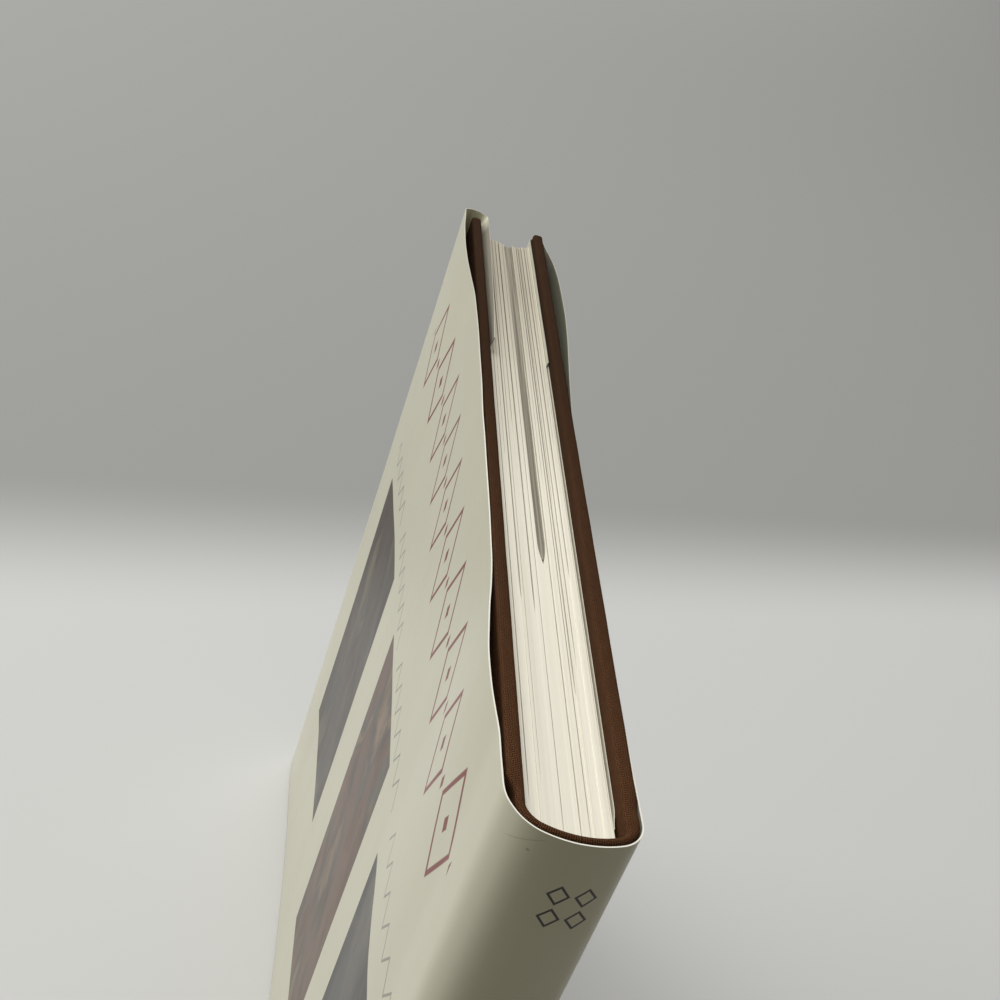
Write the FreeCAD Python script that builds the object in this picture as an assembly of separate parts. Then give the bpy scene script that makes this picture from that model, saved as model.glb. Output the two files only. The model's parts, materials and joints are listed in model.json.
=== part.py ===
import FreeCAD, Part
import math
import os

from FreeCAD import Vector

# A case-bound book in its paper jacket, closed and standing on its head edge, tail edge up.
# The spine faces -Y and the fore-edge +Y. The front cover lies on -X and the rear cover on +X.
# Sizes are in millimetres. While the pieces are drawn, Y runs from the rear shoulder of the
# leaves towards the fore-edge; the finished pieces are moved so that the origin is the middle
# of the book's footprint.

# The leaves
leaf_height = 214.0        # head to tail
leaf_depth = 236.0         # spine to fore-edge
leaves_thickness = 14.4    # all the leaves pressed together
flyleaf_thickness = 0.2    # the free half of each endpaper
back_round = 3.3           # how far the rounded back stands out past its shoulders
block_lean = 1.2           # how far the front leaves have slid towards the fore-edge

# Openings between leaves that no longer lie tight:
# where it is across the thickness, its width, and how far it reaches in from the fore-edge
leaf_gaps = (
    (0.10, 0.30, 78.0),
    (0.23, 0.35, 120.0),
    (0.51, 1.20, 160.0),
    (0.66, 0.25, 60.0),
    (0.80, 0.30, 105.0),
)
gap_taper = 26.0           # length over which such an opening closes to a point

# The lining of the back
mull_thickness = 0.25      # gauze glued round the back
mull_short = 8.0           # how much shorter the gauze is than the leaves, at each end
lining_thickness = 0.2     # kraft paper over the gauze
lining_short = 4.0
lining_inset = 0.8         # how far the kraft paper stays in from the shoulders

# The case
square = 3.3               # how far the case stands past the leaves at head, tail and fore-edge
board_thickness = 2.2
cloth_thickness = 0.3
turn_in = 15.0             # cloth folded over the edges of the boards and the spine card
board_edge_round = 0.8     # roundness of the cloth at the edges of the boards
pastedown_thickness = 0.15
spine_card_thickness = 1.0
spine_hollow = 0.5         # free space between the lined back and the case
spine_inset = 0.65         # how far the sides of the spine lie inside the faces of the covers
spine_round_radius = 18.0  # outside radius of the flat round of the spine
spine_lean = 0.45          # how far the whole spine has moved towards the rear cover
spine_side = 1.4           # where the corners end and the straight sides of the spine begin
spine_shoulder = 2.6       # where the cloth turns in from the side of the spine to the groove
groove_bend = 0.7          # radius of the cloth's bends at the groove
groove_width = 3.15        # clear width between the spine and the covered board

# The jacket
jacket_thickness = 0.2
jacket_short = 0.3         # how much the jacket stays inside the case at head and tail
flap_width = 81.0
fold_radius = 1.2
fold_room = 1.3            # free space between the board's fore-edge and the jacket's fold
front_jacket_side = 3.5    # where the jacket's round has run out towards the front cover
rear_jacket_side = 1.4     # and towards the rear cover

# How far the stiff paper of the jacket springs away from each cover, on top of its clearance:
# places from the spine towards the fore-edge, each with its distance
front_spring = ((19.0, 0.0), (33.0, 2.0), (40.0, 2.0), (64.0, 0.1), (158.0, 0.0))
front_fold_spring = 2.5
rear_spring = ((136.0, 0.0), (182.0, 2.5), (196.0, 2.5), (232.0, 0.0))
rear_fold_spring = 0.0
bend_share = 0.45          # how much of the shorter run beside it each gentle bend takes

# Clearances
slide_clearance = 0.15     # between the jacket and what it lies on, each side
hinge_clearance = 0.15     # outside the jacket, to the line about which a cover turns
joint_clearance = 0.25     # either side of the line about which a cover turns

# Places worked out across the thickness, from the middle of the book outwards
leaves_half = leaves_thickness / 2
block_half = leaves_half + flyleaf_thickness
groove_floor = block_half + mull_thickness
flap_inner = block_half + slide_clearance
flap_outer = flap_inner + jacket_thickness
pastedown_face = flap_outer + slide_clearance
turn_in_face = pastedown_face + pastedown_thickness
board_inner = turn_in_face + cloth_thickness
board_outer = board_inner + board_thickness
case_half = board_outer + cloth_thickness
jacket_inner = case_half + slide_clearance
jacket_half = jacket_inner + jacket_thickness
hinge_x = jacket_half + hinge_clearance

# Places worked out from the spine towards the fore-edge
spine_edge = spine_shoulder + cloth_thickness / 2
spine_side_end = spine_shoulder - groove_bend
case_spine_y = spine_edge + groove_width
hinge_y = case_spine_y - joint_clearance
case_fore_y = leaf_depth + square
back_chord_half = math.hypot(block_half, block_lean / 2)
back_radius = (back_chord_half ** 2 + back_round ** 2) / (2 * back_round)
back_tilt = math.atan2(block_lean / 2, block_half)
back_centre = Vector((back_radius - back_round) * math.sin(back_tilt),
                     (back_radius - back_round) * math.cos(back_tilt) + block_lean / 2, 0)
case_crown_y = (back_centre.y - back_radius - mull_thickness - lining_thickness - spine_hollow
                - spine_card_thickness - 2 * cloth_thickness)
jacket_crown_y = case_crown_y - slide_clearance - jacket_thickness
jacket_fore_y = case_fore_y + fold_room + jacket_thickness
middle_y = (jacket_crown_y + jacket_fore_y) / 2

# Places worked out from the head, on which the book stands, to the tail
case_height = leaf_height + 2 * square
leaf_foot = square
jacket_height = case_height - 2 * jacket_short


def block(low, high):
    """A box between two corners."""
    size = high.sub(low)
    return Part.makeBox(size.x, size.y, size.z, low)


def raised(edges, foot, height):
    """A closed outline, given as its edges in order, raised from foot by height."""
    face = Part.Face(Part.Wire(edges))
    face.translate(Vector(0, 0, foot))
    return face.extrude(Vector(0, 0, height))


def mirrored(shape):
    """The same piece for the other cover."""
    return shape.mirror(Vector(0, 0, 0), Vector(1, 0, 0))


def line(start, end):
    return Part.LineSegment(start, end).toShape()


def arc(start, middle, end):
    return Part.Arc(start, middle, end).toShape()


# Leaves and back

def back_point(x, offset):
    """The point of the back, moved outwards by offset, that has this x."""
    drop = math.sqrt((back_radius + offset) ** 2 - (x - back_centre.x) ** 2)
    return Vector(x, back_centre.y - drop, 0)


def back_body(offset, depth, foot, height):
    """Everything inside the back moved outwards by offset, as far as depth towards the fore-edge."""
    half = block_half + offset
    front, crown, rear = (back_point(x, offset) for x in (-half, 0, half))
    far_front, far_rear = Vector(-half, depth, 0), Vector(half, depth, 0)
    edges = [arc(front, crown, rear), line(rear, far_rear),
             line(far_rear, far_front), line(far_front, front)]
    return raised(edges, foot, height)


def whole_block():
    """All the leaves and both flyleaves: each leaf is as deep as the next, so the fore-edge repeats the back."""
    forward = Vector(0, leaf_depth, 0)
    front, crown, rear = (back_point(x, 0) for x in (-block_half, 0, block_half))
    far_front, far_crown, far_rear = (p.add(forward) for p in (front, crown, rear))
    edges = [arc(front, crown, rear), line(rear, far_rear),
             arc(far_rear, far_crown, far_front), line(far_front, front)]
    return raised(edges, leaf_foot, leaf_height)


def leaf_slab(inner_x, outer_x):
    """A box as high and deep as anything in the case, between two planes across the thickness."""
    return block(Vector(inner_x, case_crown_y, 0), Vector(outer_x, jacket_fore_y, case_height))


def leaf_opening(share, width, reach):
    """The space between two groups of leaves that have parted: even, then closing to a point."""
    x = -leaves_half + share * leaves_thickness
    tip = Vector(x, leaf_depth - reach, 0)
    near = tip.y + gap_taper
    corners = [tip, Vector(x + width / 2, near, 0), Vector(x + width / 2, jacket_fore_y, 0),
               Vector(x - width / 2, jacket_fore_y, 0), Vector(x - width / 2, near, 0), tip]
    edges = [line(a, b) for a, b in zip(corners, corners[1:])]
    return raised(edges, leaf_foot, leaf_height)


def text_block():
    leaves = whole_block().common(leaf_slab(-leaves_half, leaves_half))
    return leaves.cut([leaf_opening(*gap) for gap in leaf_gaps])


def rear_flyleaf():
    return whole_block().common(leaf_slab(leaves_half, block_half))


def front_flyleaf():
    return whole_block().common(leaf_slab(-block_half, -leaves_half))


def mull():
    """Gauze round the back, with a flange along each side that the groove of the case is glued to."""
    foot, height = leaf_foot + mull_short, leaf_height - 2 * mull_short
    around = back_body(mull_thickness, hinge_y - joint_clearance, foot, height)
    return around.cut(back_body(0, case_fore_y, foot, height))


def spine_lining():
    foot, height = leaf_foot + lining_short, leaf_height - 2 * lining_short
    half = block_half - lining_inset
    around = back_body(mull_thickness + lining_thickness, leaf_depth / 2, foot, height)
    inside = back_body(mull_thickness, leaf_depth, foot, height)
    return around.cut(inside).common(leaf_slab(-half, half))


# Case and jacket over the spine

def spine_half(side):
    """How far the side of the spine is from the middle of the book: 1 is the rear side, -1 the front."""
    return case_half - spine_inset + side * spine_lean


def round_side(side, half_width, side_start, side_end, from_case):
    """
    One half of the spine's outline, from its crown to the end of its straight side.
    The flat round is met by a tighter arc, which runs out in the straight side at side_start.
    from_case is how far outside the cloth the crown lies.
    """
    crown_radius = spine_round_radius + from_case
    crown_centre = Vector(side * spine_lean, case_crown_y - from_case + crown_radius, 0)
    across = half_width - crown_centre.x
    down = side_start - crown_centre.y
    corner = (across ** 2 + down ** 2 - crown_radius ** 2) / (2 * (across - crown_radius))
    corner_centre = Vector(half_width - corner, side_start, 0)
    outward = corner_centre.sub(crown_centre).normalize()
    meet = crown_centre.add(outward * crown_radius)
    turn = Vector(1, 0, 0).add(outward).normalize()
    crown = Vector(crown_centre.x, crown_centre.y - crown_radius, 0)
    partway = outward.add(Vector(0, -1, 0)).normalize()
    points = [crown, crown_centre.add(partway * crown_radius), meet,
              corner_centre.add(turn * corner), Vector(half_width, side_start, 0),
              Vector(half_width, side_end, 0)]
    a, b, c, d, e, f = (Vector(side * p.x, p.y, 0) for p in points)
    return [arc(a, b, c), arc(c, d, e), line(e, f)]


def spine_band(outer, inner, foot, height):
    """The space between two outlines of the spine, given by how far each lies inside the case."""
    edges = []
    for side in (1, -1):
        half = spine_half(side)
        for depth in (outer, inner):
            edges += round_side(side, half - depth, spine_side, spine_side_end, -depth)
        edges.append(line(Vector(side * (half - outer), spine_side_end, 0),
                          Vector(side * (half - inner), spine_side_end, 0)))
    return raised(Part.__sortEdges__(edges), foot, height)


def rounded_side(points, radii, offset):
    """
    Edges of a path with rounded corners, moved sideways by offset, to the left of travel if positive.
    The radii are those of the path itself, one for each corner.
    """
    edges = []
    start = None
    for before, corner, after, radius in zip(points, points[1:], points[2:], radii):
        arriving = corner.sub(before).normalize()
        leaving = after.sub(corner).normalize()
        side = 1 if arriving.cross(leaving).z > 0 else -1
        left_in = Vector(-arriving.y, arriving.x, 0)
        left_out = Vector(-leaving.y, leaving.x, 0)
        reach = radius * math.tan(arriving.getAngle(leaving) / 2)
        begin = corner.sub(arriving * reach)
        finish = corner.add(leaving * reach)
        centre = begin.add(left_in * (side * radius))
        middle = centre.add(corner.sub(centre).normalize() * (radius - side * offset))
        if start is None:
            start = before.add(left_in * offset)
        edges.append(line(start, begin.add(left_in * offset)))
        edges.append(arc(begin.add(left_in * offset), middle, finish.add(left_out * offset)))
        start = finish.add(left_out * offset)
        end = after.add(left_out * offset)
    edges.append(line(start, end))
    return edges


def sheet_along(points, radii, thickness, foot, height):
    """A sheet on edge whose middle follows the path."""
    left = rounded_side(points, radii, thickness / 2)
    right = rounded_side(points, radii, -thickness / 2)
    caps = [line(left[i].Vertexes[i].Point, right[i].Vertexes[i].Point) for i in (0, -1)]
    return raised(Part.__sortEdges__(left + right + caps), foot, height)


def gentle_radius(before, corner, after):
    """The radius that lets a bend take its share of the shorter run beside it."""
    run = min(corner.sub(before).Length, after.sub(corner).Length)
    turned = corner.sub(before).getAngle(after.sub(corner))
    return bend_share * run / math.tan(turned / 2)


def spine_card():
    """The stiff card that gives the case its round."""
    return spine_band(cloth_thickness, cloth_thickness + spine_card_thickness, cloth_thickness,
                      case_height - 2 * cloth_thickness)


def groove_cloth(side):
    """Cloth from one side of the spine down into the groove, where it is glued to the gauze."""
    half = spine_half(side) - cloth_thickness / 2
    floor = groove_floor + cloth_thickness / 2
    path = [Vector(side * half, spine_side, 0), Vector(side * half, spine_shoulder, 0),
            Vector(side * floor, spine_shoulder, 0),
            Vector(side * floor, hinge_y - joint_clearance, 0)]
    return sheet_along(path, [groove_bend, groove_bend], cloth_thickness, 0, case_height)


def spine_turn_in(foot):
    """Cloth folded over one end of the spine card and down inside it."""
    return spine_band(0, 2 * cloth_thickness + spine_card_thickness, foot, turn_in)


def spine_cloth():
    cover = spine_band(0, cloth_thickness, 0, case_height)
    grooves = [groove_cloth(1), groove_cloth(-1)]
    ends = [spine_turn_in(0), spine_turn_in(case_height - turn_in)]
    return cover.multiFuse(grooves + ends).cut(spine_card()).removeSplitter()


def jacket_spine():
    """The jacket round the spine, up to the lines about which the covers turn."""
    edges = []
    end = hinge_y - joint_clearance
    for side, start in ((1, rear_jacket_side), (-1, front_jacket_side)):
        for depth in (0, jacket_thickness):
            edges += round_side(side, jacket_half - depth, start, end,
                                slide_clearance + jacket_thickness - depth)
        edges.append(line(Vector(side * jacket_half, end, 0), Vector(side * jacket_inner, end, 0)))
    return raised(Part.__sortEdges__(edges), jacket_short, jacket_height)


# The covers: made for the rear, and mirrored for the front

def board():
    return block(Vector(board_inner, case_spine_y + cloth_thickness, cloth_thickness),
                 Vector(board_outer, case_fore_y - cloth_thickness, case_height - cloth_thickness))


def board_cloth():
    """Cloth over the outside and the edges of the board, turned in round three sides."""
    covered = block(Vector(turn_in_face, case_spine_y, 0), Vector(case_half, case_fore_y, case_height))
    covered = covered.makeFillet(board_edge_round, covered.Edges)
    window = block(Vector(turn_in_face, case_spine_y + cloth_thickness, turn_in),
                   Vector(board_inner, case_fore_y - turn_in, case_height - turn_in))
    return covered.cut([board(), window])


def pastedown():
    """The half of the endpaper pasted to the board: it steps down from the turned-in cloth to the board."""
    low = Vector(pastedown_face, case_spine_y + board_edge_round, leaf_foot)
    high = Vector(turn_in_face, case_fore_y - square, leaf_foot + leaf_height)
    border = block(low, high)
    well_low = Vector(pastedown_face, low.y, turn_in)
    well_high = Vector(board_inner, case_fore_y - turn_in, case_height - turn_in)
    step = Vector(pastedown_thickness, pastedown_thickness, pastedown_thickness)
    hollow_low = Vector(pastedown_face, low.y, turn_in + step.z)
    hollow_high = well_high.sub(step)
    return border.fuse(block(well_low, well_high)).cut(block(hollow_low, hollow_high)).removeSplitter()


def jacket_panel(spring, fold_spring):
    """One side of the jacket: over the cover, round its fore-edge and back inside as the flap."""
    outside = jacket_half - jacket_thickness / 2
    inside = flap_inner + jacket_thickness / 2
    fold = jacket_fore_y - jacket_thickness / 2
    points = [Vector(outside, hinge_y + joint_clearance, 0)]
    points += [Vector(outside + away, y, 0) for y, away in spring]
    points += [Vector(outside + fold_spring, fold, 0), Vector(inside, fold, 0),
               Vector(inside, jacket_fore_y - flap_width, 0)]
    bends = len(spring)
    radii = [gentle_radius(*points[i:i + 3]) for i in range(bends)] + [fold_radius, fold_radius]
    return sheet_along(points, radii, jacket_thickness, jacket_short, jacket_height)


def pieces():
    return {
        "text_block": text_block(),
        "front_flyleaf": front_flyleaf(),
        "rear_flyleaf": rear_flyleaf(),
        "spine_mull": mull(),
        "spine_lining": spine_lining(),
        "spine_card": spine_card(),
        "spine_cloth": spine_cloth(),
        "jacket_spine": jacket_spine(),
        "rear_board": board(),
        "rear_cloth": board_cloth(),
        "rear_pastedown": pastedown(),
        "rear_jacket": jacket_panel(rear_spring, rear_fold_spring),
        "front_board": mirrored(board()),
        "front_cloth": mirrored(board_cloth()),
        "front_pastedown": mirrored(pastedown()),
        "front_jacket": mirrored(jacket_panel(front_spring, front_fold_spring)),
    }


os.makedirs("parts", exist_ok=True)
for name, shape in pieces().items():
    shape.translate(Vector(0, -middle_y, 0))
    shape.exportStep("parts/" + name + ".step")
    print(name, len(shape.Solids), shape.isValid(), round(shape.Volume, 1))
print("cover hinges at x = +/-%.3f, y = %.3f" % (hinge_x, hinge_y - middle_y))
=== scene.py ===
# %% [markdown]
# # A hardback book in its paper jacket
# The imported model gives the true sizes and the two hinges. This lesson dresses it: paper, book cloth, a glossy
# printed jacket, leaves that have parted a little, and a studio round it. Nothing is moved, only covered or
# given a better finish. Every length is in metres, so a small constant turns millimetres into metres.

import bpy
import json
import math
import numpy as np
from mathutils import Matrix, Vector


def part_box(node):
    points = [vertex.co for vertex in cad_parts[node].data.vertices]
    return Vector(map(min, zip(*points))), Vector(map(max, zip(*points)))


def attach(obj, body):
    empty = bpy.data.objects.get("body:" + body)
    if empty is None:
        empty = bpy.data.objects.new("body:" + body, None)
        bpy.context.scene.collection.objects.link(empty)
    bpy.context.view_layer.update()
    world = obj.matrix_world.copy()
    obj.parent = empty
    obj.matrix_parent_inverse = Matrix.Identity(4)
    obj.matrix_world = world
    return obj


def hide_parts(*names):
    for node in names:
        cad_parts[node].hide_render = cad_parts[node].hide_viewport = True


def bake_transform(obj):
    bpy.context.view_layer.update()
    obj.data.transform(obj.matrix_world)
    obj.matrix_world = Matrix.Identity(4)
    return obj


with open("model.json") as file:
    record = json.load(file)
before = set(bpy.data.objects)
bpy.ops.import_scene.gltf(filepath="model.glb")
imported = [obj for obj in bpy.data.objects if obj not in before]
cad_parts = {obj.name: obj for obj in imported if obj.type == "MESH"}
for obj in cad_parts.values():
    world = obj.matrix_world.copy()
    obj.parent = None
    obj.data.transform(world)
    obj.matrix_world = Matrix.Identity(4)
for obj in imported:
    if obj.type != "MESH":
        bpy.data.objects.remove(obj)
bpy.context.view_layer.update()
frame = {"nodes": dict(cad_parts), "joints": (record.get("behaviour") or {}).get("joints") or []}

# %% [markdown]
# ## Sizes that the pieces share
# A maker sets a few lines first and works everything else from them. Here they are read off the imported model's
# own boxes, so the paper and cloth always fit it. `shoulder` is the line where the rounded back of the leaves
# begins. The square is the rim by which a cover stands out beyond the leaves.

# %% The lines that everything is set out from
MM = 0.001
cloth_low, cloth_high = (np.array(v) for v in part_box("rear_cloth"))
spine_low, spine_high = (np.array(v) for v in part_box("jacket_spine"))
jacket_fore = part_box("rear_jacket")[1][1]
leaf_half, _, leaf_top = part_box("text_block")[1]
hinges = {joint["name"]: joint for joint in frame["joints"]}
hinge_x, hinge_y = hinges["rear_cover_hinge"]["pos_m"][:2]
case_half, case_top, case_fore = cloth_high[0], cloth_high[2], cloth_high[1]
case_near, turn_in_face = cloth_low[1], cloth_low[0]
spine_round_depth = 5.62 * MM
shoulder = spine_low[1] + spine_round_depth
jacket_half = spine_high[0]
square = case_top - leaf_top
print("case %.1f mm high, hinge at %.2f, %.2f mm" % (case_top / MM, hinge_x / MM, hinge_y / MM))

# %% [markdown]
# ## A short language for materials
# A material is a graph of nodes, but its arithmetic reads best as arithmetic. `Wire` wraps one socket, and its
# operators add Math nodes, so `1 - mask` works. Colours go through Mix nodes, because Math would turn them
# grey. `Recipe` is one material, or the world, and its `node` method makes every node there is.

# %% A wire that can be added, scaled and compared
class Wire:
    def __init__(self, recipe, socket):
        self.recipe, self.socket = recipe, socket

    def math(self, operation, *others, clamp=False):
        values = dict(enumerate((self,) + others))
        return self.recipe.node("ShaderNodeMath", {"operation": operation, "use_clamp": clamp}, values)

    def __add__(self, other): return self.math("ADD", other)
    def __radd__(self, other): return self.math("ADD", other)
    def __sub__(self, other): return self.math("SUBTRACT", other)
    def __rsub__(self, other): return self.math("MULTIPLY", -1.0).math("ADD", other)
    def __mul__(self, other): return self.math("MULTIPLY", other)
    def __rmul__(self, other): return self.math("MULTIPLY", other)
    def __truediv__(self, other): return self.math("DIVIDE", other)
    def __abs__(self): return self.math("ABSOLUTE")
    def sine(self): return self.math("SINE")
    def wrap(self, high): return self.math("WRAP", high, 0.0)
    def smaller(self, other): return self.math("MINIMUM", other)
    def larger(self, other): return self.math("MAXIMUM", other)

    def step(self, low, high):
        """0 below low, 1 above high, and a soft ramp between; low may be the larger."""
        return ((self - low) / (high - low)).math("ADD", 0.0, clamp=True)


# %% One method makes every node
class Recipe:
    def __init__(self, name, world=None):
        self.block = world or bpy.data.materials.new(name)
        self.block.use_nodes = True
        self.tree = self.block.node_tree
        self.tree.nodes.clear()

    def node(self, kind, settings=None, inputs=None, output=0):
        made = self.tree.nodes.new(kind)
        for key, value in (settings or {}).items():
            if key == "stops":
                ramp = made.color_ramp
                while len(ramp.elements) < len(value):
                    ramp.elements.new(0.5)
                for element, (place, colour) in zip(ramp.elements, value):
                    element.position, element.color = place, (*colour, 1.0)
            else:
                setattr(made, key, value)
        for key, value in (inputs or {}).items():
            socket = made.inputs[key]
            if isinstance(value, Wire):
                self.tree.links.new(value.socket, socket)
            elif isinstance(value, (tuple, list)):
                socket.default_value = (*value, 1.0) if len(socket.default_value) > len(value) else value
            else:
                socket.default_value = value
        return Wire(self, made.outputs[output]) if made.outputs else None

    def blend(self, mask, first, second):
        """The first colour where the mask is 0, the second where it is 1."""
        return self.node("ShaderNodeMix", {"data_type": "RGBA"}, {0: mask, 6: first, 7: second}, output=2)

    def place(self, name="sheet_place"):
        """The place on the flat sheet, stored in the mesh, as three wires in millimetres."""
        stored = self.node("ShaderNodeAttribute", {"attribute_name": name}, output=1)
        return self.split(stored)

    def split(self, vector):
        """A vector in metres as three wires in millimetres."""
        parts = self.node("ShaderNodeSeparateXYZ", {}, {0: vector}).socket.node
        return [Wire(self, out) / MM for out in parts.outputs]

    def object_place(self):
        """The place in the piece's own coordinates, for pieces that never bend."""
        return self.split(self.node("ShaderNodeTexCoord", output=3))

    def join(self, x=0.0, y=0.0, z=0.0):
        return self.node("ShaderNodeCombineXYZ", {}, {0: x, 1: y, 2: z})

    def noise(self, vector, scale, detail=2.0, rough=0.5):
        return self.node("ShaderNodeTexNoise", {}, {"Vector": vector, "Scale": scale, "Detail": detail,
                                                    "Roughness": rough})

    def bump(self, height, distance, strength=1.0):
        return self.node("ShaderNodeBump", {}, {"Height": height, "Distance": distance, "Strength": strength})

    def seen_directly(self):
        """1 for rays from the camera, a mirror or a clear pane, 0 for light on its way to a surface."""
        rays = self.node("ShaderNodeLightPath").socket.node.outputs
        camera, glossy = Wire(self, rays["Is Camera Ray"]), Wire(self, rays["Is Glossy Ray"])
        return camera.larger(glossy).larger(Wire(self, rays["Is Transmission Ray"]))

    def finish(self, colour, roughness, **sockets):
        """The Principled shader: constants are set on its own sockets."""
        inputs = {"Base Color": colour, "Roughness": roughness}
        inputs.update({key.replace("_", " "): value for key, value in sockets.items()})
        shader = self.node("ShaderNodeBsdfPrincipled", {}, inputs)
        self.node("ShaderNodeOutputMaterial", {}, {0: shader})
        return self.block


print("material helpers ready")

# %% [markdown]
# ## Jacket paper
# The jacket is coated paper with a clear gloss film outside and bare paper inside. Its print is generic: a row
# of slender outlined lozenges, a thin zigzag rule and three soft abstract fields. An image could carry it, but
# each mark is a mask worked out from the place on the flat sheet instead, which stays sharp at any distance.
# The mesh stores that place, so the print follows the paper round its bends.

# %% Soft rectangles and lozenges as masks
paper_tone = (0.65, 0.63, 0.51)
maroon = (0.20, 0.035, 0.03)
ink = (0.018, 0.016, 0.014)
rule_grey = (0.19, 0.17, 0.155)


def window(across, down, left, right, top, bottom, soft=0.12):
    """1 inside a rectangle on the sheet, in millimetres, with a soft edge."""
    inside = across.step(left - soft, left + soft) * across.step(right + soft, right - soft)
    return inside * down.step(top - soft, top + soft) * down.step(bottom + soft, bottom - soft)


def lozenges(across, down, first, pitch, middle, half_width, half_height):
    """How far out from the middle of its lozenge each point is: 1 on the outline."""
    from_middle = (across - first).wrap(pitch) - pitch / 2
    return abs(from_middle) / half_width + abs(down - middle) / half_height


def outline(out, width):
    """The line round a lozenge, from how far out each point is."""
    return abs(out - 1.0).step(width * 1.25, width * 0.75)


print("marks are set out in millimetres on the flat sheet")

# %% [markdown]
# ## The printed side
# Old coated paper isn't one tone. It yellows towards an edge that stood in the light, it is scuffed where it was
# handled, and a faint ripple and the fibre under the film break up its reflections. The clear film is the
# shader's coat; the paper below it stays rather rough.

# %% Paper, gloss film and the marks on the spine
def paper_body(recipe, across, down):
    """Pale stock that has toned towards its tail edge and varies very slightly."""
    mottle = recipe.noise(recipe.join(across, down, 0.0), 0.035, 3.0)
    toned = recipe.blend(down.step(26.0, 0.0) * 0.35, paper_tone, (0.56, 0.54, 0.40))
    return recipe.blend((mottle - 0.5) * 0.5 + 0.25, toned, (0.555, 0.545, 0.455))


def jacket_outside(name, printed):
    recipe = Recipe(name)
    across, down, from_crown = recipe.place()
    colour = printed(recipe, across, down, paper_body(recipe, across, down))
    stamp = lozenges(from_crown, (down - 9.1).wrap(5.1), -2.3, 4.6, 2.55, 1.7, 1.9)
    stamp = outline(stamp, 0.17) * window(from_crown, down, -2.3, 6.9, 9.1, 19.3)
    colour = recipe.blend(stamp, colour, ink)
    # painted shade: a faint grey line stands in for the shade along a small crease near the spine at the tail
    # edge; the speck is a real mark
    slant = down + from_crown * 0.6
    crease_shade = abs(slant + 1.6).step(0.16, 0.04) * window(from_crown, down, -11.5, -5.5, 0.0, 9.0, 0.8)
    speck = window(from_crown, down, -7.5, -7.0, 4.6, 5.0, 0.15)
    colour = recipe.blend(crease_shade * 0.3 + speck * 0.6, colour, rule_grey)
    fibre = recipe.noise(recipe.join(across, down * 0.7, 0.0), 0.55, 3.0)
    ripple = recipe.noise(recipe.join(across * 0.35, down * 0.12, 3.0), 0.11, 1.0)
    normal = recipe.bump(fibre * 0.015 + ripple * 0.5, MM, 0.35)
    scuff = recipe.noise(recipe.join(across, down * 0.4, 7.0), 0.09, 4.0).step(0.45, 0.75)
    return recipe.finish(colour, 0.42 + scuff * 0.1, Coat_Weight=0.31, Coat_Roughness=0.12, Coat_IOR=1.46,
                         Specular_IOR_Level=0.22, Normal=normal)


# %% Front print: lozenges, zigzag rule and three soft fields
def soft_field(recipe, across, down, seed, tones):
    """Clouds of deep colour that drift down the sheet."""
    place = recipe.join(across * 0.021 + seed, down * 0.011 + seed * 0.7, seed)
    bend = recipe.noise(place, 1.6, 3.0, 0.55)
    cloud = recipe.noise(recipe.join(across * 0.03 + seed + bend * 1.4, down * 0.016 - bend, seed), 1.9, 4.0)
    stops = [(0.25 + 0.5 * i / (len(tones) - 1), tone) for i, tone in enumerate(tones)]
    return recipe.node("ShaderNodeValToRGB", {"stops": stops}, {0: cloud})


def lozenge_row(across, down, first):
    """Outlined lozenges with a small solid one at the heart of each, and a bead between neighbours."""
    pitch, middle = 20.6, 29.0
    out = lozenges(across, down, first, pitch, middle, 7.4, 12.8)
    bead = lozenges(across, down, first - pitch / 2, pitch, middle, 0.9, 2.0).step(1.08, 0.92)
    return outline(out, 0.082).larger(out.step(0.19, 0.17)).larger(bead)


def zigzag(across, down, first, last, middle):
    """A thin zigzag rule, 6 mm high, broken into runs of six turns."""
    swing = abs((across - first).wrap(8.0) - 4.0) * 1.5 - 3.0
    runs = (across - first).wrap(56.0).step(48.1, 47.9)
    return abs(down - middle - swing).step(0.62, 0.40) * runs * window(across, down, first, last, 50.0, 80.0)


def front_print(recipe, across, down, paper):
    row = window(across, down, 12.5, 218.5, 12.0, 43.0)
    marked = recipe.blend(lozenge_row(across, down, 12.5) * row, paper, maroon)
    marked = recipe.blend(zigzag(across, down, 12.0, 218.0, 69.5) * 0.75, marked, rule_grey)
    fields = [
        (window(across, down, 24.0, 67.0, 84.0, 194.0), 1.3,
         [(0.012, 0.012, 0.012), (0.022, 0.020, 0.018), (0.06, 0.048, 0.038), (0.13, 0.115, 0.09)]),
        (window(across, down, 86.0, 135.0, 76.0, 186.0), 4.1,
         [(0.030, 0.020, 0.014), (0.11, 0.045, 0.022), (0.05, 0.034, 0.024), (0.26, 0.16, 0.09)]),
        (window(across, down, 162.0, 214.0, 78.0, 174.0), 7.7,
         [(0.022, 0.014, 0.010), (0.055, 0.032, 0.022), (0.030, 0.022, 0.016), (0.13, 0.10, 0.055)]),
    ]
    for mask, seed, tones in fields:
        marked = recipe.blend(mask, marked, soft_field(recipe, across, down, seed, tones))
    return marked


# %% Rear print: one lozenge and a dashed rule
def rear_print(recipe, across, down, paper):
    row = window(across, down, 103.3, 123.9, 12.0, 43.0)
    dash = ((across - 74.0).wrap(4.9)).step(3.3, 3.1) * window(across, down, 74.0, 152.0, 60.6, 62.9)
    marked = recipe.blend(lozenge_row(across, down, 103.3) * row, paper, maroon)
    return recipe.blend(dash * 0.85, marked, rule_grey)


jacket_front_finish = jacket_outside("jacket_front_print", front_print)
jacket_rear_finish = jacket_outside("jacket_rear_print", rear_print)
print("jacket print:", len(jacket_front_finish.node_tree.nodes), "nodes")
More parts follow.
